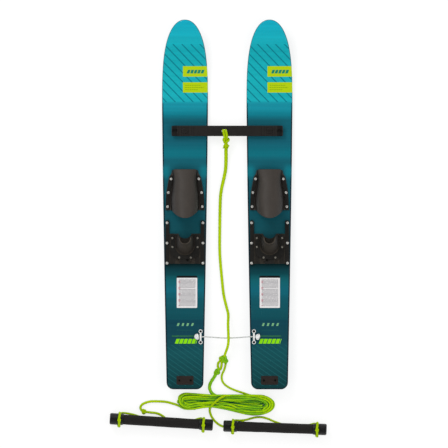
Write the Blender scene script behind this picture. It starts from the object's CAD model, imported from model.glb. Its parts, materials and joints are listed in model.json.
"""Looks for the water ski set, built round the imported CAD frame.

Sizes are in millimetres in three frames, and turn into metres only when a mesh is made:
- ski frame (u, v, w): u across a ski towards the other one, v from its tail edge to its tip,
  w up from its running base;
- set frame (x, y, z): x from the middle plane between the skis, y ahead of the tails, z up
  from the floor;
- handle frame: along the grip, then two directions across it.
"""
import json
import math

import bpy
import numpy as np
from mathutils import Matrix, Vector


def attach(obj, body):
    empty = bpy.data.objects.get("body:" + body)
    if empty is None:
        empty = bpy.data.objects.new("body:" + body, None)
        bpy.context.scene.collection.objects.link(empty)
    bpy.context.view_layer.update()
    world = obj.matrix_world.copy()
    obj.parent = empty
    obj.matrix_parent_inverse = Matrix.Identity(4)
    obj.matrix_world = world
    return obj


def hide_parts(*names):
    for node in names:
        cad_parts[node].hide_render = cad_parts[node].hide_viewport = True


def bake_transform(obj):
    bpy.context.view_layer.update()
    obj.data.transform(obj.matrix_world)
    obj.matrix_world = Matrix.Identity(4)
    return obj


MM = 0.001
SEED = 7

# ---- Sizes shared with the CAD ----
BAR_V = 812.0
BAR_W = 24.1                 # underside of the tow bar
BAR_THICKNESS = 9.0
BAR_HALF_WIDTH = 16.5
BAR_DARK_ZONES = ((108.0, 121.5), (144.0, 172.0))   # from the bar's middle: ribs, ribs and recess
BAR_RIBS = (110.3, 114.8, 119.3, 146.3, 150.8, 155.3)
BOARD_LENGTH = 1160.0
DECK_W = 16.0
FLANGE = 3.0
PLATE_TOP_W = 20.7
CUP_FLANGE = 2.5
CUP_RIM_W = 74.0
RING_R = 19.8                # of the rope rings' centre line
RING_X = 132.5               # each ring's distance from the grip's middle
ROPE_R = 4.0
SPLICE_R = 5.6
GRIP_R = 16.0
GRIP_HALF = 118.5

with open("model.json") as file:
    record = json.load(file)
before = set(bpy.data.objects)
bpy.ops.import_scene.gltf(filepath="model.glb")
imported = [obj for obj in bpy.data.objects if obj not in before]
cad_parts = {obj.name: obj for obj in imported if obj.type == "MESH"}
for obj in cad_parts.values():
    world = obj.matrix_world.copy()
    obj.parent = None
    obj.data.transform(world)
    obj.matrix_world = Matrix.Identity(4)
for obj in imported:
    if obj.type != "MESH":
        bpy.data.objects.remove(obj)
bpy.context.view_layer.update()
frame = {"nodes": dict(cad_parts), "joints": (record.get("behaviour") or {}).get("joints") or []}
joints = {joint["name"]: joint for joint in frame["joints"]}
UP = Vector(joints["bar_swing"]["axis"])
AHEAD = Vector(joints["left_heel_slide"]["axis"])
POST = {"left": "bar_swing", "right": "right_ski_swing"}
INWARD = {"left": 1.0, "right": -1.0}
ORIGIN = {
    side: Vector(joints[name]["pos_m"]) - (AHEAD * BAR_V + UP * BAR_W) * MM
    for side, name in POST.items()
}
MID_X = (ORIGIN["left"].x + ORIGIN["right"].x) / 2
TAIL_Y = ORIGIN["left"].y
SIDES = ("left", "right")


def on_ski(side, u, v, w):
    """A ski-frame point in the row frame, in metres."""
    return ORIGIN[side] + Vector((INWARD[side] * u * MM, 0, 0)) + AHEAD * (v * MM) + UP * (w * MM)


def in_set(x, y, z):
    """A set-frame point in the row frame, in metres."""
    return Vector((MID_X + x * MM, TAIL_Y + y * MM, z * MM))


def linear(rgb):
    """An sRGB colour of 0 to 255 as a linear RGBA colour."""
    return tuple(((c / 255 + 0.055) / 1.055) ** 2.4 if c > 10 else c / 255 / 12.92 for c in rgb) + (1.0,)


# ---- Materials ----
class Nodes:
    """Short helpers for building a node tree."""

    def __init__(self, tree):
        self.tree = tree

    def put(self, socket, value):
        if isinstance(value, bpy.types.NodeSocket):
            self.tree.links.new(value, socket)
        else:
            socket.default_value = value

    def node(self, kind, inputs=None, **settings):
        made = self.tree.nodes.new(kind)
        for key, value in settings.items():
            setattr(made, key, value)
        for key, value in (inputs or {}).items():
            self.put(made.inputs[key], value)
        return made

    def math(self, operation, a, b=0.0, c=0.0):
        return self.node("ShaderNodeMath", {0: a, 1: b, 2: c}, operation=operation).outputs[0]

    def inside(self, value, low, high):
        """1 where the value lies between two limits, 0 elsewhere."""
        above = self.math("GREATER_THAN", value, low)
        return self.math("MULTIPLY", above, self.math("LESS_THAN", value, high))

    def ease(self, value, low, high):
        """0 below the first limit, 1 above the second, and smooth between them."""
        inputs = {"Value": value, "From Min": low, "From Max": high}
        made = self.node("ShaderNodeMapRange", inputs, interpolation_type="SMOOTHSTEP")
        return made.outputs["Result"]

    def split(self, vector):
        """A vector's x, y and z."""
        return self.node("ShaderNodeSeparateXYZ", {0: vector}).outputs

    def mix(self, factor, a, b):
        made = self.node("ShaderNodeMix", data_type="RGBA")
        for index, value in ((0, factor), (6, a), (7, b)):
            self.put(made.inputs[index], value)
        return made.outputs[2]

    def ramp(self, factor, stops):
        made = self.node("ShaderNodeValToRGB", {"Fac": factor})
        elements = made.color_ramp.elements
        while len(elements) < len(stops):
            elements.new(1.0)
        for element, (place, rgb) in zip(elements, stops):
            element.position = place
            element.color = linear(rgb)
        return made.outputs["Color"]


class Shader(Nodes):
    """A Principled material, and the patterns that its colours are made from."""

    def __init__(self, name, roughness=0.5, specular=0.35, metallic=0.0):
        self.material = bpy.data.materials.new(name)
        self.material.use_nodes = True
        super().__init__(self.material.node_tree)
        self.bsdf = self.tree.nodes["Principled BSDF"]
        self.set("Roughness", roughness)
        self.set("Specular IOR Level", specular)
        self.set("Metallic", metallic)

    def set(self, socket, value):
        self.put(self.bsdf.inputs[socket], value)

    def place(self):
        """Row-frame position of the surface at rest, in metres."""
        return self.node("ShaderNodeTexCoord").outputs["Object"]

    def scaled(self, vector, scale):
        return self.node("ShaderNodeMapping", {"Vector": vector, "Scale": scale}).outputs[0]

    def noise(self, scale, detail=3.0, vector=None):
        inputs = {"Vector": vector or self.place(), "Scale": scale, "Detail": detail}
        return self.node("ShaderNodeTexNoise", inputs).outputs["Fac"]

    def cells(self, scale, feature="F1"):
        inputs = {"Vector": self.place(), "Scale": scale}
        return self.node("ShaderNodeTexVoronoi", inputs, feature=feature).outputs["Distance"]

    def facing_up(self):
        """1 where the surface faces up, 0 where it faces sideways and -1 where it faces down."""
        return self.split(self.node("ShaderNodeNewGeometry").outputs["Normal"])[2]

    def uneven_sheen(self, scale, spread, lowest, detail=3.0):
        """Roughness that wanders upwards from its lowest value."""
        wander = self.math("MULTIPLY", self.noise(scale, detail), spread)
        self.set("Roughness", self.math("ADD", wander, lowest))

    def bump(self, height, strength, distance):
        inputs = {"Height": height, "Strength": strength, "Distance": distance}
        self.set("Normal", self.node("ShaderNodeBump", inputs).outputs[0])

    def buried(self, reach, low, high):
        """0 on open surfaces and 1 deep in corners, judged within a reach in metres."""
        hidden = self.node("ShaderNodeAmbientOcclusion", {"Distance": reach}).outputs["AO"]
        return self.ease(hidden, low, high)

    def shaded(self, colour, amount, pattern):
        """The colour made lighter and darker by a pattern centred on one half."""
        gain = self.math("MULTIPLY_ADD", pattern, amount, 1.0 - amount / 2)
        if isinstance(colour, tuple):
            colour = colour[:3]
        return self.node("ShaderNodeVectorMath", {0: colour, "Scale": gain}, operation="SCALE").outputs[0]


# place along the board from tail to tip, and the deck's colour there
DECK_COLOURS = (
    (0, (15, 56, 58)), (20, (17, 62, 66)), (70, (20, 73, 78)), (117, (21, 79, 85)), (160, (20, 68, 79)),
    (216, (17, 66, 80)), (222, (16, 76, 86)), (249, (17, 80, 90)), (281, (16, 84, 96)), (312, (15, 98, 114)),
    (337, (14, 94, 104)), (350, (14, 86, 94)), (363, (12, 66, 73)), (376, (12, 58, 66)), (390, (8, 40, 44)),
    (470, (17, 68, 78)), (488, (19, 80, 90)), (560, (17, 80, 92)), (650, (19, 86, 99)),
    (721, (18, 93, 107)), (737, (12, 110, 124)), (752, (12, 104, 118)), (775, (18, 93, 109)),
    (847, (17, 92, 106)), (865, (10, 120, 136)), (880, (18, 136, 153)), (901, (20, 140, 158)),
    (904, (20, 164, 175)), (972, (19, 168, 177)), (1067, (14, 160, 171)), (1100, (20, 168, 182)),
    (1160, (9, 166, 189)),
)
RAIL_COLOUR = (3, 30, 42)
NOSE_RAIL_COLOUR = (4, 104, 116)
NOSE_START = 890.0           # the board's widest point
RAIL_BAND = 4.5              # dark band inside the deck's sides
DECK_HALF_U = 72.2           # at the widest point
TAIL_NARROWING = 14.6        # how much less the half width is at the tail
LIME = (174, 200, 8)
LOGO_SLANT = 0.35
MARK_SHIFT = {"left": 0.0, "right": 2.0}


def deck_place(s, side):
    """Distance right of the board's centre line and ahead of its tail, in millimetres."""
    xyz = s.split(s.place())
    across = s.math("MULTIPLY", s.math("SUBTRACT", xyz[0], ORIGIN[side].x), 1 / MM)
    along = s.math("MULTIPLY", s.math("SUBTRACT", xyz[1], TAIL_Y), 1 / MM)
    return across, along


def stripes(s, across, along, slope, start, period, share):
    """Stripes that drop to the right, each covering a share of its period, one of them at the start."""
    slanted = s.math("SUBTRACT", s.math("MULTIPLY_ADD", across, slope, along), start - period * share / 2)
    return s.math("LESS_THAN", s.math("FRACT", s.math("DIVIDE", slanted, period)), share)


def rail_band(s, across, along):
    """1 along the deck's two sides behind its widest point, 0 elsewhere."""
    left = s.math("MAXIMUM", s.math("SUBTRACT", 1.0, s.math("DIVIDE", along, NOSE_START)), 0.0)
    edge = s.math("MULTIPLY_ADD", s.math("POWER", left, 1.3), -TAIL_NARROWING, DECK_HALF_U - RAIL_BAND)
    inside = s.math("SUBTRACT", s.math("ABSOLUTE", across), edge)
    side = s.math("MULTIPLY", s.ease(inside, -1.0, 1.5), s.math("LESS_THAN", along, NOSE_START + 10))
    return s.math("MAXIMUM", side, s.ease(along, RAIL_BAND + 1.0, RAIL_BAND - 1.5))


def patch(s, across, along, limits):
    low_u, high_u, low_v, high_v = limits
    return s.math("MULTIPLY", s.inside(across, low_u, high_u), s.inside(along, low_v, high_v))


def slanted_marks(s, across, along, limits, period, share):
    """A row of plain slanted blocks in the place of printed words."""
    lean = s.math("MULTIPLY", s.math("SUBTRACT", along, limits[2]), -LOGO_SLANT)
    level = s.math("ADD", across, lean)
    phase = s.math("FRACT", s.math("DIVIDE", s.math("SUBTRACT", level, limits[0]), period))
    return s.math("MULTIPLY", patch(s, level, along, limits), s.math("LESS_THAN", phase, share))


def board_finish(side):
    s = Shader(side + "_board_print", specular=0.2)
    across, along = deck_place(s, side)
    shift = MARK_SHIFT[side]
    stops = [(v / BOARD_LENGTH, rgb) for v, rgb in DECK_COLOURS]
    colour = s.ramp(s.math("DIVIDE", along, BOARD_LENGTH), stops)
    ripples = s.noise(1.0, 4.0, s.scaled(s.place(), (2.5, 130.0, 1.0)))
    colour = s.shaded(colour, 0.30, ripples)
    nose = stripes(s, across, along, 1.03, 901.0, 29.0, 0.17)
    tail = stripes(s, across, along, 0.70, 30.0, 16.0, 0.16)
    upward = s.facing_up()
    rim = s.math("MAXIMUM", s.ease(upward, 0.90, 0.78), rail_band(s, across, along))
    rail = s.mix(s.ease(along, 850, 930), linear(RAIL_COLOUR), linear(NOSE_RAIL_COLOUR))
    glow = s.math("MULTIPLY", s.ease(s.math("ABSOLUTE", across), 40, 58), s.ease(along, 655, 680))
    glow = s.math("MULTIPLY", glow, s.ease(along, 715, 690))
    washes = (
        (s.math("MULTIPLY", nose, s.inside(along, 903, 1085)), linear((4, 108, 124)), 0.85),
        (s.math("MULTIPLY", tail, s.inside(along, 12, 140)), linear((34, 104, 108)), 0.45),
        (rim, rail, 1.0),
        (glow, linear((6, 134, 148)), 0.45),
    )
    for mask, ink, strength in washes:
        colour = s.mix(s.math("MULTIPLY", mask, strength), colour, ink)
    for limits, rgb, strength in (
        ((-6.6, 90, 983, 1016), LIME, 1.0),
        ((-6.6, 90, 933, 965.5), LIME, 1.0),
        ((-41 + shift, 34 + shift, 167.0, 168.6), (74, 150, 30), 0.8),
        ((-26 + shift, 26 + shift, 186.0, 186.8), (40, 110, 90), 0.6),
    ):
        mask = patch(s, across, along, limits)
        colour = s.mix(s.math("MULTIPLY", mask, strength), colour, linear(rgb))
    for limits, period, share, rgb, strength in (
        ((5, 60, 993, 1004.5), 11.0, 0.78, (18, 128, 104), 1.0),
        ((0, 58, 948, 950), 7.0, 0.8, (110, 150, 10), 0.8),
        ((0, 40, 941, 943), 7.0, 0.8, (110, 150, 10), 0.8),
        ((0, 50, 955, 957), 7.0, 0.8, (110, 150, 10), 0.8),
        ((-26 + shift, 27 + shift, 199.5, 208.5), 14.9, 0.42, (120, 178, 128), 0.9),
        ((-32 - shift, 35 - shift, 144, 159), 13.0, 0.82, (134, 216, 8), 1.0),
    ):
        mask = slanted_marks(s, across, along, limits, period, share)
        colour = s.mix(s.math("MULTIPLY", mask, strength), colour, linear(rgb))
    base = s.shaded(linear((14, 92, 106)), 0.25, s.noise(1.0, 4.0, s.scaled(s.place(), (4.0, 40.0, 1.0))))
    colour = s.mix(s.math("LESS_THAN", upward, -0.6), colour, base)
    scuffs = s.ease(s.noise(1.0, 6.0, s.scaled(s.place(), (700.0, 40.0, 200.0))), 0.64, 0.74)
    s.set("Base Color", s.mix(s.math("MULTIPLY", scuffs, 0.05), colour, linear((120, 190, 190))))
    s.uneven_sheen(60.0, 0.12, 0.14, 4.0)
    s.bump(s.noise(1400.0, 2.0), 0.06, 0.0004)
    return s.material


def moulded(name, rgb, roughness=0.55, grain=1500.0, depth=0.00025, dust=(120, 112, 104)):
    """Moulded plastic or rubber: a fine grain, uneven sheen and pale dust in places."""
    s = Shader(name)
    colour = s.shaded(linear(rgb), 0.35, s.noise(35.0, 5.0))
    specks = s.ease(s.noise(900.0, 3.0), 0.66, 0.80)
    colour = s.mix(s.math("MULTIPLY", specks, 0.08), colour, linear(dust))
    s.set("Base Color", s.mix(s.buried(0.006, 0.85, 0.35), colour, linear((6, 6, 6))))
    s.uneven_sheen(120.0, 0.2, roughness - 0.1)
    height = s.math("ADD", s.cells(grain), s.math("MULTIPLY", s.noise(grain / 3, 3.0), 0.6))
    s.bump(height, 0.55, depth)
    return s.material


def bar_finish():
    """The tow bar: dark between its ribs and in the recesses, worn paler along each rib."""
    s = Shader("tow_bar_plastic")
    across = s.math("ABSOLUTE", s.math("MULTIPLY", s.math("SUBTRACT", s.split(s.place())[0], MID_X), 1 / MM))
    colour = s.shaded(linear((29, 25, 22)), 0.5, s.noise(35.0, 5.0))
    for low, high in BAR_DARK_ZONES:
        zone = s.math("MULTIPLY", s.ease(across, low - 2, low + 1), s.ease(across, high + 2, high - 1))
        colour = s.mix(s.math("MULTIPLY", zone, 0.85), colour, linear((8, 7, 6)))
    for centre in BAR_RIBS:
        rib = s.math("LESS_THAN", s.math("ABSOLUTE", s.math("SUBTRACT", across, centre)), 1.2)
        colour = s.mix(s.math("MULTIPLY", rib, 0.6), colour, linear((52, 47, 43)))
    s.set("Base Color", colour)
    s.uneven_sheen(120.0, 0.2, 0.4)
    s.bump(s.math("ADD", s.cells(1500.0), s.math("MULTIPLY", s.noise(500.0, 3.0), 0.6)), 0.55, 0.00025)
    return s.material


def plate_finish(side):
    """The slide plate's textured top: pebbled, with fine grooves along both sides."""
    s = Shader(side + "_plate_plastic")
    across, along = deck_place(s, side)
    groove = s.math("SINE", s.math("MULTIPLY", across, 2 * math.pi / 3.4))
    beside = s.inside(s.math("ABSOLUTE", across), 31.0, 46.0)
    edges = s.math("MULTIPLY", beside, s.inside(along, 390.0, 446.0))
    grooved = s.math("MULTIPLY", s.ease(groove, 0.1, -0.5), edges)
    pebbles = s.cells(330.0)
    colour = s.mix(s.ease(pebbles, 0.15, 0.55), linear((20, 18, 13)), linear((48, 42, 33)))
    colour = s.mix(s.math("MULTIPLY", edges, 0.7), colour, linear((40, 36, 30)))
    s.set("Base Color", s.mix(grooved, s.shaded(colour, 0.9, s.noise(110.0, 4.0)), linear((10, 9, 8))))
    s.uneven_sheen(120.0, 0.2, 0.45)
    height = s.math("SUBTRACT", s.math("MULTIPLY", pebbles, s.math("SUBTRACT", 1.0, edges)), grooved)
    s.bump(height, 0.6, 0.0009)
    return s.material


def rubber(name, side_rgb, crown_rgb):
    """Binding rubber: brown-grey, satin, lighter where it is stretched over the crown."""
    s = Shader(name, specular=0.28)
    colour = s.mix(s.ease(s.facing_up(), 0.25, 1.0), linear(side_rgb), linear(crown_rgb))
    colour = s.shaded(colour, 0.30, s.noise(1.0, 5.0, s.scaled(s.place(), (60.0, 30.0, 60.0))))
    bloom = s.ease(s.noise(260.0, 5.0), 0.60, 0.78)
    s.set("Base Color", s.mix(s.math("MULTIPLY", bloom, 0.06), colour, linear((132, 124, 116))))
    s.uneven_sheen(90.0, 0.22, 0.42, 4.0)
    s.bump(s.math("ADD", s.cells(1100.0), s.noise(2400.0, 2.0)), 0.35, 0.0002)
    return s.material


def metal(name, rgb, roughness=0.32, metallic=1.0):
    """Turned metal with faint rings of uneven polish."""
    s = Shader(name, metallic=metallic)
    rings = s.noise(1.0, 3.0, s.scaled(s.place(), (2500.0, 600.0, 2500.0)))
    s.set("Base Color", s.shaded(linear(rgb), 0.3, rings))
    s.set("Roughness", s.math("ADD", s.math("MULTIPLY", rings, 0.25), roughness - 0.1))
    s.bump(rings, 0.2, 0.0001)
    return s.material


def braid(name, rgb, gap_rgb, shade_rgb, deep_rgb, strand_mix=0.25, reach=0.014, strands=8, pitch=0.011):
    """A braid drawn from each rope's own length and angle, darker and greener where it is buried."""
    s = Shader(name, 0.6, specular=0.06)
    uv = s.split(s.node("ShaderNodeTexCoord").outputs["UV"])
    along = s.math("DIVIDE", uv[0], pitch)
    around = s.math("MULTIPLY", uv[1], strands / 2)
    crests = []
    for turn in (1.0, -1.0):
        winding = s.math("MULTIPLY_ADD", around, turn, along)
        crests.append(s.math("SINE", s.math("MULTIPLY", winding, 2 * math.pi)))
    height = s.ease(s.math("ABSOLUTE", s.math("MULTIPLY", crests[0], crests[1])), 0.0, 0.55)
    fibre = s.noise(2500.0, 2.0)
    colour = s.mix(height, linear(gap_rgb), linear(rgb))
    inputs = {"W": s.math("MULTIPLY", uv[0], 8.0), "Scale": 1.0, "Detail": 2.0}
    stretch = s.node("ShaderNodeTexNoise", inputs, noise_dimensions="1D").outputs[0]
    colour = s.mix(s.math("MULTIPLY", s.ease(stretch, 0.42, 0.62), strand_mix), colour, linear(shade_rgb))
    colour = s.mix(s.buried(reach, 0.74, 0.44), colour, linear(shade_rgb))
    colour = s.mix(s.buried(reach, 0.52, 0.26), colour, linear(deep_rgb))
    s.set("Base Color", s.shaded(colour, 0.22, fibre))
    s.bump(s.math("ADD", height, s.math("MULTIPLY", fibre, 0.3)), 0.7, 0.0006)
    return s.material


def thin_braid(name, rgb, gap_rgb, shade_rgb, deep_rgb):
    return braid(name, rgb, gap_rgb, shade_rgb, deep_rgb, 0.0, 0.01, 6, 0.006)


def foam(name):
    """Soft black foam with open pores."""
    s = Shader(name, 0.85)
    pores = s.cells(1900.0)
    colour = s.shaded(linear((28, 25, 23)), 0.5, s.noise(40.0, 5.0))
    s.set("Base Color", s.mix(s.ease(pores, 0.25, 0.05), colour, linear((14, 14, 16))))
    s.bump(s.math("ADD", pores, s.math("MULTIPLY", s.noise(300.0, 4.0), 0.7)), 0.8, 0.0004)
    return s.material


def label_finish(name, low, high):
    """A white care label: a dark header, then plain grey rules in place of words."""
    s = Shader(name)
    xyz = s.split(s.place())
    across = s.math("DIVIDE", s.math("SUBTRACT", xyz[0], low.x), high.x - low.x)
    along = s.math("DIVIDE", s.math("SUBTRACT", xyz[1], low.y), high.y - low.y)
    paper = s.shaded(linear((226, 224, 224)), 0.06, s.noise(300.0, 3.0))
    rules = s.math("LESS_THAN", s.math("FRACT", s.math("MULTIPLY", along, 27.0)), 0.5)
    words = s.ease(s.noise(1.0, 2.0, s.scaled(s.place(), (420.0, 265.0, 1.0))), 0.34, 0.40)
    ink = s.math("MULTIPLY", rules, words)
    ink = s.math("MULTIPLY", ink, s.inside(across, 0.10, 0.92))
    ink = s.math("MULTIPLY", ink, s.inside(along, 0.05, 0.90))
    ink = s.math("MULTIPLY", ink, s.math("SUBTRACT", 1.0, s.inside(along, 0.60, 0.63)))
    colour = s.mix(s.math("MULTIPLY", ink, 0.85), paper, linear((98, 96, 104)))
    patches = s.math("LESS_THAN", s.math("FRACT", s.math("MULTIPLY", along, 5.2)), 0.4)
    patches = s.math("MULTIPLY", patches, s.inside(across, 0.08, 0.17))
    patches = s.math("MULTIPLY", patches, s.inside(along, 0.05, 0.90))
    colour = s.mix(s.math("MULTIPLY", patches, 0.5), colour, linear((176, 70, 96)))
    s.set("Base Color", s.mix(s.math("GREATER_THAN", along, 0.935), colour, linear((10, 10, 12))))
    s.uneven_sheen(200.0, 0.2, 0.32)
    s.bump(s.noise(900.0, 2.0), 0.1, 0.0001)
    return s.material


FINISH = {
    "insert": metal("insert_brass", (186, 150, 84)),
    "fin": moulded("fin_plastic", (22, 22, 23), 0.5),
    "plate": moulded("tail_plate_plastic", (38, 27, 22), 0.6, 900.0, 0.0005),
    "screw": metal("screw_steel", (222, 221, 216), 0.3, 0.45),
    "dull_screw": metal("dull_screw_steel", (150, 146, 136), 0.35, 0.5),
    "dark_screw": metal("dark_screw_steel", (42, 44, 40), 0.4),
    "clamp": moulded("clamp_plastic", (24, 22, 18), 0.5),
    "bar": moulded("bar_plastic", (27, 23, 20), 0.5),
    "saddle": moulded("saddle_plastic", (224, 226, 224), 0.4, 900.0, 0.0001, (190, 190, 186)),
    "caps": moulded("cap_plastic", (17, 17, 18), 0.45, 1200.0, 0.0003),
    "tube": metal("tube_alloy", (150, 150, 152)),
    "rubber": rubber("toe_binding_rubber", (22, 19, 17), (62, 56, 51)),
    "heel_rubber": rubber("heel_binding_rubber", (24, 20, 17), (68, 60, 50)),
    "line": braid("line_braid", (190, 220, 0), (158, 188, 0), (120, 164, 10), (40, 116, 30)),
    "coil": braid("coil_braid", (184, 224, 0), (146, 196, 0), (80, 170, 34), (0, 88, 76), 0.6, 0.026),
    "cord": thin_braid("cord_braid", (226, 228, 226), (176, 180, 178), (196, 198, 196), (120, 124, 124)),
    "knot": thin_braid("knot_braid", (250, 250, 249), (214, 216, 215), (214, 216, 215), (130, 134, 134)),
    "foam": foam("grip_foam"),
}
SKI_NODE_FINISH = {
    "brass_inserts": "insert", "fin": "fin", "tail_plate": "plate", "fin_screws": "dark_screw",
    "toe_screws": "screw", "rail_screws": "screw", "clamp_screws": "dull_screw", "lock_pin": "dark_screw",
    "lock_spring": "dark_screw", "saddle_screws": "dark_screw", "toe_strips": "clamp", "heel_clamp": "clamp",
    "heel_rails": "clamp", "lock_rack": "clamp", "lock_lever": "clamp",
    "bar_post": "bar", "post_cap": "bar", "tie_saddle": "saddle", "handle_core": "tube",
    "handle_caps": "caps",
}


def dress(piece, material):
    piece.data.materials.clear()
    piece.data.materials.append(material)
    return piece


# ---- Mesh helpers ----
def mesh_piece(name, points, faces, material, smooth=True):
    mesh = bpy.data.meshes.new(name)
    mesh.from_pydata([tuple(p) for p in points], [], faces)
    mesh.update()
    piece = bpy.data.objects.new(name, mesh)
    bpy.context.scene.collection.objects.link(piece)
    for polygon in mesh.polygons:
        polygon.use_smooth = smooth
    return dress(piece, material)


def add_modifier(piece, kind, **settings):
    made = piece.modifiers.new(kind.title(), kind)
    for key, value in settings.items():
        setattr(made, key, value)
    return made


def sheet(name, rows, material, thickness, offset=0.0):
    """A smooth sheet of even thickness through rows of points."""
    columns = len(rows[0])
    points = [p for row in rows for p in row]
    faces = []
    for i in range(len(rows) - 1):
        for j in range(columns - 1):
            a = i * columns + j
            faces.append((a, a + 1, a + columns + 1, a + columns))
    piece = mesh_piece(name, points, faces, material)
    add_modifier(piece, "SOLIDIFY", thickness=thickness * MM, offset=offset, use_even_offset=True)
    add_modifier(piece, "SUBSURF", levels=2, render_levels=2)
    return piece


def smooth_path(points, step, closed=False):
    """Evenly spaced points, in millimetres, on a smooth curve through the given ones."""
    p = np.array(points, float)
    count = len(p)
    spans = count if closed else count - 1
    if closed:
        padded = np.vstack([p[-1], p, p[0], p[1]])
    else:
        padded = np.vstack([2 * p[0] - p[1], p, 2 * p[-1] - p[-2]])
    samples = []
    for i in range(spans):
        p0, p1, p2, p3 = padded[i:i + 4]
        t = np.linspace(0, 1, 24, endpoint=False)[:, None]
        samples.append(0.5 * (2 * p1 + (p2 - p0) * t + (2 * p0 - 5 * p1 + 4 * p2 - p3) * t ** 2
                              + (3 * p1 - p0 - 3 * p2 + p3) * t ** 3))
    dense = np.vstack(samples + [p[:1] if closed else p[-1:]])
    lengths = np.concatenate([[0], np.cumsum(np.linalg.norm(np.diff(dense, axis=0), axis=1))])
    wanted = np.linspace(0, lengths[-1], max(int(lengths[-1] / step), 3) + 1)
    even = np.column_stack([np.interp(wanted, lengths, dense[:, k]) for k in range(3)])
    return even[:-1] if closed else even


def tube(name, path, radius, material, closed=False, sides=14, lay=11.0, place=in_set):
    """A rope along an even path, with slight braid lumps, round ends and a length-and-angle UV map."""
    radii = np.broadcast_to(radius, len(path))
    ahead = np.roll(path, -1, 0) - np.roll(path, 1, 0)
    if not closed:
        ahead[0] = path[1] - path[0]
        ahead[-1] = path[-1] - path[-2]
    ahead /= np.linalg.norm(ahead, axis=1)[:, None]
    side = np.cross(ahead[0], (0.0, 0.0, 1.0) if abs(ahead[0][2]) < 0.9 else (1.0, 0.0, 0.0))
    lengths = np.concatenate([[0], np.cumsum(np.linalg.norm(np.diff(path, axis=0), axis=1))])
    rings = []
    for i in range(len(path)):
        side = side - ahead[i] * np.dot(side, ahead[i])
        side /= np.linalg.norm(side)
        rings.append((path[i], side.copy(), np.cross(ahead[i], side), lengths[i], radii[i]))
    if not closed:
        for end, sign in ((0, -1.0), (-1, 1.0)):
            centre, a, b, length, radius = rings[end]
            caps = []
            for degrees in (35, 62, 84):
                t = math.radians(degrees)
                shift = sign * radius * math.sin(t) * 0.7
                caps.append((centre + ahead[end] * shift, a, b, length + shift, radius * math.cos(t)))
            rings = caps[::-1] + rings if end == 0 else rings + caps
    points, texture = [], []
    for centre, a, b, length, radius in rings:
        for k in range(sides):
            t = 2 * math.pi * k / sides
            lump = 1 + 0.045 * math.cos(2 * math.pi * length / lay) * math.cos(4 * t)
            r = radius * lump
            points.append(place(*(centre + (a * math.cos(t) + b * math.sin(t)) * r)))
            texture.append((length * MM, k / sides))
    faces, corners = [], []
    count = len(rings)
    for i in range(count if closed else count - 1):
        j = (i + 1) % count
        for k in range(sides):
            m = (k + 1) % sides
            faces.append((i * sides + k, i * sides + m, j * sides + m, j * sides + k))
            far = texture[j * sides][0] if j else lengths[-1] * MM + 0.001
            near = texture[i * sides][0]
            corners += [(near, k / sides), (near, (k + 1) / sides), (far, (k + 1) / sides), (far, k / sides)]
    if not closed:
        for start, order in ((0, -1), ((count - 1) * sides, 1)):
            faces.append(tuple(start + k for k in range(sides))[::order])
            corners += [texture[start]] * sides
    piece = mesh_piece(name, points, faces, material)
    layer = piece.data.uv_layers.new(name="rope")
    for loop, corner in zip(layer.data, corners):
        loop.uv = corner
    return piece


def rope(name, points, radius, material, step=2.5, **settings):
    """A rope through points, of one radius or of (share of its length, radius) pairs."""
    path = smooth_path(points, step)
    if isinstance(radius, tuple):
        radius = np.interp(np.linspace(0, 1, len(path)), *zip(*radius))
    return tube(name, path, radius, material, **settings)


def knot_points(centre, along, size, turn=0.0, width=1.0):
    """An overhand knot's centre line round a point, with its long way along a direction."""
    forward = Vector(along).normalized()
    side = forward.cross(Vector((0, 0, 1))).normalized()
    up = side.cross(forward)
    points = []
    for i in range(42):
        t = 2 * math.pi * i / 42
        a = (2 + math.cos(3 * t)) * math.cos(2 * t) / 3
        b = (2 + math.cos(3 * t)) * math.sin(2 * t) / 3
        c = math.sin(3 * t) * 0.42
        a, b = a * math.cos(turn) - b * math.sin(turn), a * math.sin(turn) + b * math.cos(turn)
        points.append(Vector(centre) + (forward * (1.15 * a) + side * (width * b) + up * c) * size)
    return [tuple(p) for p in points]


def knot(name, centre, along, size, radius, material, turn=0.0, width=1.0):
    path = smooth_path(knot_points(centre, along, size, turn, width), 1.2, closed=True)
    return tube(name, path, radius, material, closed=True, sides=12)


def set_point(point):
    """A row-frame point back in the set frame, in millimetres."""
    return ((point.x - MID_X) / MM, (point.y - TAIL_Y) / MM, point.z / MM)


# ---- Toe piece ----
# place along the board, half width at the foot and height of the arch
TOE_ARCH = (
    (532, 38, 70), (560, 41.5, 63), (590, 44, 55), (616, 41.5, 48), (645, 38, 40), (668, 35.2, 32),
    (682, 39.5, 25), (694, 40.5, 19),
)
ARCH_POWER = 0.85
TOE_EDGE = ((563, 61.3), (618, 59.0), (668, 50.0), (686, 42.5), (692, 39.0))
TOE_FRONT = 691.5
TOE_SIDE_REAR = 563.0
TONGUE_R = 47.4              # of the round rear edge
TONGUE_V = 535.5
TONGUE_HALF_U = 42.5
TOE_FRONT_HALF_U = 36.0      # the front edge's straight part


def lookup(table, place, column=1):
    return float(np.interp(place, [row[0] for row in table], [row[column] for row in table]))


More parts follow.
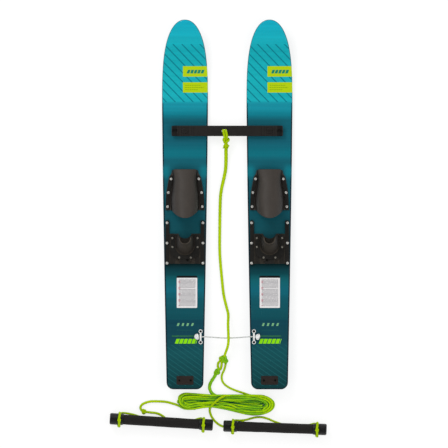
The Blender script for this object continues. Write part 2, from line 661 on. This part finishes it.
def toe_row(share):
    """One row across the toe piece, from one edge of its flange to the other."""
    half_row = []
    for spread in (1.0, 0.93, 0.6, 0.25, 0.06):
        front = TOE_FRONT - 23.5 * spread
        v = front + share * (TOE_SIDE_REAR - front)
        foot = lookup(TOE_ARCH, v)
        half_row.append((foot + spread * (lookup(TOE_EDGE, v) - foot), v, DECK_W + FLANGE / 2))
    for degrees in (6, 14, 24, 35, 46, 57, 68, 79, 90):
        t = math.radians(degrees)
        across = abs(math.cos(t)) ** ARCH_POWER
        up = math.sin(t) ** ARCH_POWER
        rear = TONGUE_V + TONGUE_R - math.sqrt(TONGUE_R ** 2 - (TONGUE_HALF_U * across) ** 2)
        front = TOE_FRONT - max(0.0, 40.5 * across - TOE_FRONT_HALF_U) * 0.9
        v = front + share * (rear - front)
        bead = 0.8 * (share > 0.94) + 0.5 * (share < 0.03)
        half = lookup(TOE_ARCH, v) - 1.6
        height = lookup(TOE_ARCH, v, 2) - 1.6 + bead
        half_row.append((half * across, v, DECK_W + FLANGE / 2 + (height - FLANGE / 2) * up))
    mirror = [(-u, v, w) for u, v, w in reversed(half_row[:-1])]
    return half_row + mirror


def toe_piece(side):
    shares = (0.0, 0.02, 0.08, 0.2, 0.34, 0.48, 0.62, 0.76, 0.88, 0.945, 0.965, 0.99, 1.0)
    rows = [[on_ski(side, *p) for p in toe_row(share)] for share in shares]
    piece = sheet(side + "_toe_piece", rows, FINISH["rubber"], FLANGE)
    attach(piece, side + "_ski")
    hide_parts(side + "_toe_rubber")


# ---- Heel cup ----
CUP_FRONT_V = 485.5
CUP_CENTRE_V = 452.0
CUP_FOOT_R = 28.2
FLANGE_HALF_U = 44.5
FLANGE_HALF_V = 42.5
FLANGE_POWER = 0.63          # squares the flange's rear corners off


def horseshoe(half_u, half_v, centre, front, power=1.0):
    """Points along a horseshoe open to the front, from its right end round to its left end."""
    straight = [front - (front - centre) * i / 3 for i in range(3)]
    points = [(half_u, v) for v in straight]
    for i in range(11):
        t = math.pi * i / 10
        across = math.copysign(abs(math.cos(t)) ** power, math.cos(t))
        points.append((half_u * across, centre - half_v * math.sin(t) ** power))
    return points + [(-half_u, v) for v in reversed(straight)]


def heel_cup(side):
    flat = PLATE_TOP_W + CUP_FLANGE / 2
    edge = horseshoe(FLANGE_HALF_U, FLANGE_HALF_V, CUP_CENTRE_V, CUP_FRONT_V, FLANGE_POWER)
    foot = horseshoe(CUP_FOOT_R, CUP_FOOT_R, CUP_CENTRE_V, CUP_FRONT_V)
    rows = []
    for share in (1.0, 0.92, 0.5, 0.12):
        row = [(c + (a - c) * share, d + (b - d) * share, flat) for (a, b), (c, d) in zip(edge, foot)]
        rows.append(row)
    for share in (0.05, 0.18, 0.36, 0.55, 0.74, 0.88, 0.95, 0.985, 1.0):
        w = flat + 1.5 + (CUP_RIM_W - 2.5 - flat) * share
        radius = 28.0 - 12.0 * share ** 1.1 + (1.2 if share > 0.9 else 0.0)
        centre = CUP_CENTRE_V + 21.0 * share ** 1.25
        front = CUP_FRONT_V - 8.5 * max(0.0, share - 0.2)
        dip = 7.0 * share / max(front - centre, 1.0)
        rim = horseshoe(radius, radius, centre, front)
        rows.append([(u, v, w - dip * max(0.0, v - centre)) for u, v in rim])
    placed = [[on_ski(side, *p) for p in row] for row in rows]
    piece = sheet(side + "_heel_cup_piece", placed, FINISH["heel_rubber"], 3.2)
    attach(piece, side + "_heel")
    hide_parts(side + "_heel_cup")


# ---- Labels ----
LABEL_SPAN = {"left": (-25.8, 38.4), "right": (-30.8, 32.7)}
LABEL_V = (256.0, 357.0)


def label(side):
    low_u, high_u = LABEL_SPAN[side]
    low_v, high_v = LABEL_V
    corner = 2.0
    outline = []
    corners = ((high_u, high_v, 0), (low_u, high_v, 90), (low_u, low_v, 180), (high_u, low_v, 270))
    for cu, cv, start in corners:
        for degrees in (0, 30, 60, 90):
            t = math.radians(start + degrees)
            outline.append((cu - math.copysign(corner, cu) + corner * math.cos(t),
                            cv - (corner if cv == high_v else -corner) + corner * math.sin(t)))
    points = []
    for w in (DECK_W + 0.02, DECK_W + 0.25):
        points += [on_ski(side, INWARD[side] * u, v, w) for u, v in outline]
    count = len(outline)
    faces = [tuple(range(count))[::-1], tuple(range(count, 2 * count))]
    faces += [(i, (i + 1) % count, count + (i + 1) % count, count + i) for i in range(count)]
    low = on_ski(side, INWARD[side] * low_u, low_v, DECK_W)
    high = on_ski(side, INWARD[side] * high_u, high_v, DECK_W)
    finish = label_finish(side + "_label_print", low, high)
    piece = mesh_piece(side + "_care_label", points, faces, finish, smooth=False)
    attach(piece, side + "_ski")


# ---- Handles ----
def handle_axes(side):
    """A handle's own axis, and the level direction across it."""
    axis = Vector(joints[side + "_handle_roll"]["axis"])
    return axis, Vector((0, 0, 1)).cross(axis)


def round_handle(side, x, radius, t):
    """A point at an angle round a handle's axis, x from the grip's middle, in metres."""
    axis, across = handle_axes(side)
    centre = Vector(joints[side + "_handle_roll"]["pos_m"])
    outward = across * math.cos(t) + Vector((0, 0, math.sin(t)))
    return centre + (axis * x + outward * radius) * MM


def grip(side):
    """The foam grip: a soft sleeve with slight dents, snug against both caps."""
    stations = [-GRIP_HALF, -GRIP_HALF + 0.6, -GRIP_HALF + 2.5]
    stations += list(np.linspace(-GRIP_HALF + 8, GRIP_HALF - 8, 40))
    stations += [GRIP_HALF - 2.5, GRIP_HALF - 0.6, GRIP_HALF]
    sides = 40
    points = []
    for i, x in enumerate(stations):
        end = min(abs(x + GRIP_HALF), abs(GRIP_HALF - x))
        radius = GRIP_R - 0.9 * math.exp(-end / 0.8)
        for k in range(sides):
            t = 2 * math.pi * k / sides
            dent = 0.16 * math.sin(x / 17.0 + 2 * t) + 0.12 * math.sin(x / 7.3 - 3 * t)
            points.append(round_handle(side, x, radius - 0.25 + dent * min(end / 12, 1), t))
    faces = []
    for i in range(len(stations) - 1):
        for k in range(sides):
            m = (k + 1) % sides
            faces.append((i * sides + k, (i + 1) * sides + k, (i + 1) * sides + m, i * sides + m))
    piece = mesh_piece(side + "_grip_sleeve", points, faces, FINISH["foam"])
    add_modifier(piece, "SUBSURF", levels=1, render_levels=1)
    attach(piece, side + "_handle")
    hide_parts(side + "_handle_grip")


def handle_ring(side, end):
    """Rope drawn tight round a cap's groove, with the small nip where it is tied."""
    points = []
    for degrees in range(0, 360, 12):
        t = math.radians(degrees)
        x = end * RING_X + 0.8 * math.sin(3 * t)
        points.append(set_point(round_handle(side, x, RING_R + 0.5 * math.cos(2 * t), t)))
    path = smooth_path(points, 2.0, closed=True)
    name = "{}_ring_{}".format(side, "outer" if end * (1 if side == "right" else -1) > 0 else "inner")
    return tube(name, path, ROPE_R - 0.3, FINISH["line"], closed=True)


# ---- Line, coil and leads, in the set frame ----
LINE_RADIUS = ((0.0, 5.4), (0.06, 5.7), (0.27, 4.9), (0.5, 4.5), (0.9, 4.2), (1.0, 3.9))
LINE_PATH = (
    (-3.9, 750, 18.0), (-3.9, 721, 11.0), (-5.5, 690, 7.5), (-11.8, 658, 6.0), (-18.5, 627, 5.8),
    (-22.0, 590, 5.6), (-23.7, 485, 5.2), (-23.0, 420, 5.1), (-16.5, 344, 5.0), (-11.0, 296, 5.2),
    (-3.0, 262, 8.0), (3.0, 236, 16.0), (2.6, 208, 27.0), (3.0, 187, 31.8), (3.9, 155, 31.8),
    (1.6, 136, 28.0), (-5.0, 116, 17.0), (-10.5, 100, 12.0),
)
SPLICE_KNOT = (-11.0, 95.0, 11.0)
EYE_PATH = (
    (-14, 98, 12), (-22, 90, 9), (-28.5, 82, 6), (-29.5, 72, 5.5), (-26.5, 64, 5.5), (-21.5, 63, 6.0),
    (-18.5, 72, 8), (-17, 84, 10), (-13, 95, 13),
)
SPLICE_PATH = (
    (-25.5, 65, 7), (-29.0, 59, 6.5), (-34.0, 51, 6), (-41.5, 38, 6), (-50.5, 24, 6),
    (-55.5, 10.4, 6), (-54.0, -2, 7.5), (-47, -13, 11), (-33, -22, 14),
)
TAIL_PATH = (
    (-5.5, 96, 12), (-4.0, 86, 8), (-8.6, 64, 4.2), (-15.6, 48, 4.2), (-17.5, 35.5, 4.2), (-14, 23, 4.2),
    (-4, 12, 4.2), (11.8, 2.5, 4.2), (30.7, -5.0, 5), (52.0, -12.0, 8), (74, -19, 12), (98, -22, 15),
)
LEADS = {
    "left": (
        (-108, -48, 15), (-128, -55, 13), (-146, -54, 8), (-161, -48, 4.4), (-190, -40, 4.2),
        (-215, -38, 4.2), (-243, -38.5, 4.2), (-265, -46, 4.2), (-273, -57.5, 4.2), (-265, -69, 4.2),
        (-243, -72.5, 4.2), (-221, -75.5, 4.2), (-203, -84, 4.2), (-190, -96, 4.1), (-180, -102.5, 4.1),
    ),
    "right": (
        (-6, -19, 20.0), (-14, -23, 24.5), (-26, -30, 26.5), (-40, -42, 26.0), (-50, -53, 19),
        (-55.0, -63, 8), (-52.5, -78, 4.2), (-44, -94, 4.2), (-30, -108, 4.2), (-14, -116.5, 4.2),
        (10, -118, 4.2), (35, -110, 4.2), (52, -98, 4.2),
    ),
}
LEAD_KNOT = (-262.0, -70.0, 6.0)
LEAD_JOIN = {"left": ((-158, -49), (-176, -43)), "right": ((-52, -58), (-53, -76))}
LEGS = {
    "left": (
        (-331, -74.5, 6.4), (-312, -76.0, 4.4), (-290, -81, 4.2), (-262, -90, 4.2), (-225, -98, 4.2),
        (-160, -104, 4.2), (-110, -98, 4.4), (-84, -91.0, 6.4),
    ),
    "right": (
        (25, -97.5, 6.8), (40, -98, 4.5), (59, -96, 4.2), (73, -92, 4.2), (91, -88, 4.2), (110, -88, 4.2),
        (129, -93, 4.2), (150, -102, 4.2), (190, -114, 4.2), (240, -116, 4.4), (273, -108, 6.8),
    ),
}
# the coil's two long edges, from its left end to its right end
COIL_UPPER = (
    (-159, -36), (-157, -22), (-149, -13), (-134, -9.5), (-101, -12), (-48, -16), (2, -16), (60, -15.5),
    (112, -17), (142, -27.5), (157, -47),
)
COIL_LOWER = (
    (-159, -36), (-156, -50), (-149, -60), (-134, -65), (-105, -65), (-76, -59), (-48, -57), (2, -66),
    (49, -78), (80, -83.5), (118, -81), (145, -68), (157, -47),
)
COIL_SPINE = ((-143, -37), (-76, -35), (-48, -37), (2, -42), (113, -47))
COIL_STRAND_R = 3.5
COIL_TOP = 20.0              # highest centre line in the coil
COIL_ENDS = (-156, 153)      # the strands' centre lines stay between these
COIL_HOLLOW = (80.0, -42.0, 33.0, 12.0)   # middle and half sizes of the gap the upper turns leave
# each turn's height, and how far it lies inside the outline
COIL_TURNS = (
    (3.6, 0.62), (3.6, 0.90), (3.6, 0.40), (3.8, 0.16), (4.0, 0.02), (9.5, 0.10), (9.5, 0.34), (10.5, 0.58),
    (15.5, 0.44), (16.5, 0.22), (14.5, 0.04),
)


def coil_path():
    """Loose turns of line laid inside the coil's outline, then pushed apart until none overlap."""
    rng = np.random.default_rng(SEED)
    corners = COIL_UPPER + COIL_LOWER[-2:0:-1]
    outline = smooth_path([(x, y, 0) for x, y in corners], 4.0, closed=True)[:, :2]
    outline = outline[np.linspace(0, len(outline) - 1, 150).astype(int)]
    spine_x = np.clip(outline[:, 0], COIL_SPINE[0][0], COIL_SPINE[-1][0])
    spine = np.column_stack([spine_x, np.interp(spine_x, *zip(*COIL_SPINE))])
    around = np.linspace(0, 1, len(outline))
    turns = []
    for (low, inset), (next_low, next_inset) in zip(COIL_TURNS, COIL_TURNS[1:] + COIL_TURNS[-1:]):
        drift = np.clip((around - 0.7) / 0.3, 0, 1)
        share = inset + (next_inset - inset) * drift
        height = low + (next_low - low) * drift
        sway = sum(rng.normal(0, 1) * np.sin(2 * math.pi * (m * around + rng.uniform())) for m in (1, 2, 3))
        flat = outline + (spine - outline) * share[:, None]
        turns.append(np.column_stack([flat + sway[:, None] * (2.6, 1.8), height + 1.6 * sway]))
    return settle(np.vstack(turns))


def settle(path, rounds=200):
    """Moves the strands apart, keeps them smooth and inside the outline, and lets them sink."""
    diameter = 2 * COIL_STRAND_R
    for i in range(rounds):
        if i % 8 == 0:
            distance = np.linalg.norm(path[:, None] - path[None], axis=2)
            first, second = np.nonzero(np.triu(distance < diameter + 2.5, 9))
        gap = path[first] - path[second]
        distance = np.linalg.norm(gap, axis=1) + 1e-6
        push = gap * (np.maximum(diameter - distance, 0) / distance * 0.22)[:, None]
        np.add.at(path, first, push)
        np.add.at(path, second, -push)
        middle = (path[:-2] + path[2:]) / 2
        path[1:-1] += (middle - path[1:-1]) * 0.25
        path[:, 2] -= 0.05
        high = np.interp(path[:, 0], *zip(*COIL_UPPER)) - COIL_STRAND_R
        low = np.interp(path[:, 0], *zip(*COIL_LOWER)) + COIL_STRAND_R
        path[:, 1] = np.clip(path[:, 1], np.minimum(low, high), np.maximum(low, high))
        path[:, 0] = np.clip(path[:, 0], *COIL_ENDS)
        offset = (path[:, :2] - COIL_HOLLOW[:2]) / COIL_HOLLOW[2:]
        inside = (np.linalg.norm(offset, axis=1) < 1) & (path[:, 2] > 7.5)
        path[inside, :2] += offset[inside] * (0.4, 0.9)
        path[:, 2] = np.clip(path[:, 2], COIL_STRAND_R + 0.1, COIL_TOP)
    return path


def ride_line(piece, node=None, body="line"):
    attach(piece, body)
    if node:
        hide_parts(node)


def eye_and_knot():
    """The doubled eye through the bar's slot, and the knot behind the bar that closes it."""
    gap = ROPE_R + 1.15
    low, high = BAR_W - gap, BAR_W + BAR_THICKNESS + gap
    rear = BAR_V - BAR_HALF_WIDTH
    middle_w = (low + high) / 2
    half = (ORIGIN["right"].x - ORIGIN["left"].x) / 2 / MM
    path = (
        (-4.0, rear - 10.0, middle_w + 2, 2.0),
        (-4.6, rear - 3.0, high - 1.0, 3.6),
        (-6.5, BAR_V - 9.0, high + 0.5, 4.0),
        (-8.7, BAR_V + 1.0, high - 1.0, 3.8),
        (-9.0, BAR_V + 0.6, middle_w, 3.9),
        (-8.7, BAR_V - 1.0, low + 1.5, 3.9),
        (-6.0, BAR_V - 9.0, low, 4.0),
        (-4.6, rear - 3.0, low + 1.5, 3.6),
        (-4.0, rear - 10.0, middle_w - 2, 2.0),
    )
    for tag, sign in (("a", -1), ("b", 1)):
        points = [set_point(on_ski("left", half + u + sign * spread, v, w)) for u, v, w, spread in path]
        strand = rope("line_eye_" + tag, points, ROPE_R - 0.1, FINISH["line"], 1.5)
        ride_line(strand, "line_loop" if sign < 0 else None, "loop")
    centre = Vector(set_point(on_ski("left", half - 4.0, rear - 13.0, middle_w)))
    ride_line(knot("line_eye_knot", centre, (1, 0.35, 0), 7.6, 3.5, FINISH["line"]), body="loop")
    return centre


def tow_line(centre):
    start = tuple(centre + Vector((0, -3.0, -1.5)))
    ride_line(rope("tow_line_run", (start,) + LINE_PATH, LINE_RADIUS, FINISH["line"]), "tow_line")
    lower = centre + Vector((0.4, -19.0, -6.0))
    ride_line(knot("line_keeper_knot", lower, (0, 1, 0), 6.2, 3.0, FINISH["line"], 0.6))
    for tag, sign in (("a", -1), ("b", 1)):
        steps = ((0, 0, 0), (sign * 6.0, -1, 1), (sign * 9.5, sign * 4 - 2, 0))
        points = [tuple(lower + Vector(step)) for step in steps]
        ride_line(rope("line_tail_" + tag, points, 1.6, FINISH["line"], 1.0, sides=8))


def splice():
    """The knot that ties the straight line to the coil's spliced eye, and both strands to the coil."""
    centre = Vector(SPLICE_KNOT)
    ride_line(knot("splice_knot", centre, (0.25, 1, 0), 9.0, 3.9, FINISH["coil"]), "line_splice")
    for name, shift, along, finish, turn in (
        ("splice_wrap", (5.5, -6, 1), (1, -0.9, 0), "coil", 1.0),
        ("splice_hitch", (-7.0, 2, 0), (0.3, 1, 0), "line", 0.4),
    ):
        ride_line(knot(name, centre + Vector(shift), along, 6.0, 3.0, FINISH[finish], turn))
    ride_line(rope("splice_eye", EYE_PATH, ROPE_R - 0.2, FINISH["line"]))
    ride_line(rope("splice_body", SPLICE_PATH, SPLICE_R - 0.4, FINISH["coil"], lay=14.0))
    ride_line(rope("splice_tail", TAIL_PATH, 3.4, FINISH["line"]))
    ride_line(knot("splice_throat", (-32.5, 54.5, 7.8), (-0.7, -1, 0), 7.2, 3.4, FINISH["coil"], 0.4))


def coil():
    path = smooth_path(coil_path()[::3], 3.0)
    ride_line(tube("coil_turns", path, COIL_STRAND_R, FINISH["coil"]), "rope_coil")


def handle_ropes(side):
    """Both rings, the leg between them, and the lead back to the coil."""
    body = side + "_rope"
    across = tuple(handle_axes(side)[1])
    ends = []
    for end in (-1, 1):
        ring = handle_ring(side, end)
        ride_line(ring, side + "_bridle" if end < 0 else None, body)
        for tag, degrees, size in (("top", 98, 3.6), ("low", 168, 3.2)):
            lump = set_point(round_handle(side, end * RING_X, RING_R + 0.8, math.radians(degrees)))
            name = "{}_ring_tie_{}_{}".format(side, tag, "left" if end < 0 else "right")
            ride_line(knot(name, lump, across, size, 2.6, FINISH["line"], 0.5), None, body)
        ends.append(set_point(round_handle(side, end * RING_X, RING_R, -math.pi / 4)))
    points = (ends[0],) + LEGS[side] + (ends[1],)
    ride_line(rope(side + "_bridle_leg", points, ROPE_R - 0.6, FINISH["line"]), None, body)
    lead = rope(side + "_lead", LEADS[side], ROPE_R - 0.2, FINISH["line"])
    if side == "left":
        tie = knot("left_lead_knot", LEAD_KNOT, (0.5, -1, 0), 5.6, 3.3, FINISH["line"], 0.8)
        ride_line(tie, None, body)
    start, end = (in_set(x, y, 5.0) for x, y in LEAD_JOIN[side])
    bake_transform(lead)
    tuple(start)
    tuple(end)


# ---- Tail tie ----
TIE_V = 165.0
TIE_KNOT_U = 37.0


def tail_tie():
    """The thin cord through both saddles, with a bulky stop knot at each end."""
    ends = {}
    for side in SIDES:
        run = ((39.5, 4.5), (44.5, 2.5), (49, 2.4), (64, 2.5))
        ends[side] = [set_point(on_ski(side, u, TIE_V, DECK_W + lift)) for u, lift in run]
    hold = Vector(ends["left"][2])
    sag = [(-28, hold.y - 3, hold.z - 11.9), (0, hold.y - 4, hold.z - 14), (28, hold.y - 3, hold.z - 11.9)]
    points = ends["left"] + sag + ends["right"][::-1]
    cord = rope("tie_cord", points, 1.9, FINISH["cord"], 2.0, sides=10, lay=6.0)
    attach(cord, "tie")
    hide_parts("tail_cord")
    for side in SIDES:
        centre = set_point(on_ski(side, TIE_KNOT_U, TIE_V, DECK_W + 6.6))
        lean = (-0.25 * INWARD[side], 1, 0)
        piece = knot("tie_knot_" + side, centre, lean, 6.0, 3.6, FINISH["knot"], 0.5, 0.72)
        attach(piece, "tie")


# ---- Studio ----
CAMERA_FIELD = 1.409         # metres seen across the frame
CAMERA_HEIGHT = 40.0
CAMERA_SENSOR = 36.0
CAMERA_AIM = (-10.2, 519.9, 0)
FLOOR_DROP = 0.0005          # keeps the floor clear of everything that lies on it
# each lamp's name, place, size in metres and power in watts
LAMPS = (
    ("key", (-1.2, 1.9, 2.2), 1.2, 30.0),
    ("fill", (1.9, -0.6, 2.0), 1.8, 12.0),
    ("rear", (-1.2, -1.9, 1.9), 1.8, 9.0),
)


def studio():
    """A pale lit table under a white sky that is dark straight above for reflections."""
    floor = mesh_piece("studio_floor", [(-4, -4, 0), (4, -4, 0), (4, 4, 0), (-4, 4, 0)], [(0, 1, 2, 3)],
                       None, smooth=False)
    s = Shader("studio_paper", 0.9, specular=0.0)
    s.set("Base Color", s.shaded((0.28, 0.28, 0.28, 1.0), 0.01, s.noise(3.0)))
    s.set("Emission Color", (1.0, 1.0, 1.0, 1.0))
    s.set("Emission Strength", 0.75)
    seen_below = s.node("ShaderNodeNewGeometry").outputs["Backfacing"]
    clear = s.node("ShaderNodeBsdfTransparent").outputs[0]
    surface = s.node("ShaderNodeMixShader", {0: seen_below, 1: s.bsdf.outputs[0], 2: clear}).outputs[0]
    s.put(s.tree.nodes["Material Output"].inputs["Surface"], surface)
    dress(floor, s.material)
    floor.location.z = -FLOOR_DROP
    world = bpy.data.worlds.new("studio")
    world.use_nodes = True
    sky = Nodes(world.node_tree)
    height = sky.split(sky.node("ShaderNodeTexCoord").outputs["Generated"])[2]
    glossy = sky.node("ShaderNodeLightPath").outputs["Is Glossy Ray"]
    dark = sky.math("MULTIPLY", glossy, sky.ease(height, 0.15, 0.75))
    background = world.node_tree.nodes["Background"]
    background.inputs["Color"].default_value = (1.0, 1.0, 1.0, 1.0)
    sky.put(background.inputs["Strength"], sky.math("MULTIPLY_ADD", dark, -0.70, 0.72))
    bpy.context.scene.world = world
    for name, place, size, power in LAMPS:
        light = bpy.data.lights.new(name, "AREA")
        light.size = size
        light.energy = power
        lamp = bpy.data.objects.new(name, light)
        lamp.location = place
        lamp.rotation_mode = "QUATERNION"
        lamp.rotation_quaternion = (-Vector(place)).to_track_quat("-Z", "Y")
        bpy.context.scene.collection.objects.link(lamp)
    bpy.context.scene.view_settings.view_transform = "Standard"


def camera():
    """Straight down from far above, so that nothing is foreshortened."""
    data = bpy.data.cameras.new("camera")
    data.sensor_width = CAMERA_SENSOR
    data.lens = CAMERA_SENSOR * CAMERA_HEIGHT / CAMERA_FIELD
    data.clip_end = CAMERA_HEIGHT * 1.5
    eye = bpy.data.objects.new("camera", data)
    eye.location = in_set(*CAMERA_AIM) + Vector((0, 0, CAMERA_HEIGHT))
    bpy.context.scene.collection.objects.link(eye)
    bpy.context.scene.camera = eye


# ---- Build ----
for side in SIDES:
    dress(frame["nodes"][side + "_board"], board_finish(side))
    dress(frame["nodes"][side + "_heel_plate"], plate_finish(side))
    for node, finish in SKI_NODE_FINISH.items():
        dress(frame["nodes"][side + "_" + node], FINISH[finish])
    toe_piece(side)
    heel_cup(side)
    label(side)
    grip(side)
    handle_ropes(side)
dress(frame["nodes"]["tow_bar"], bar_finish())
tow_line(eye_and_knot())
splice()
coil()
tail_tie()
studio()
camera()
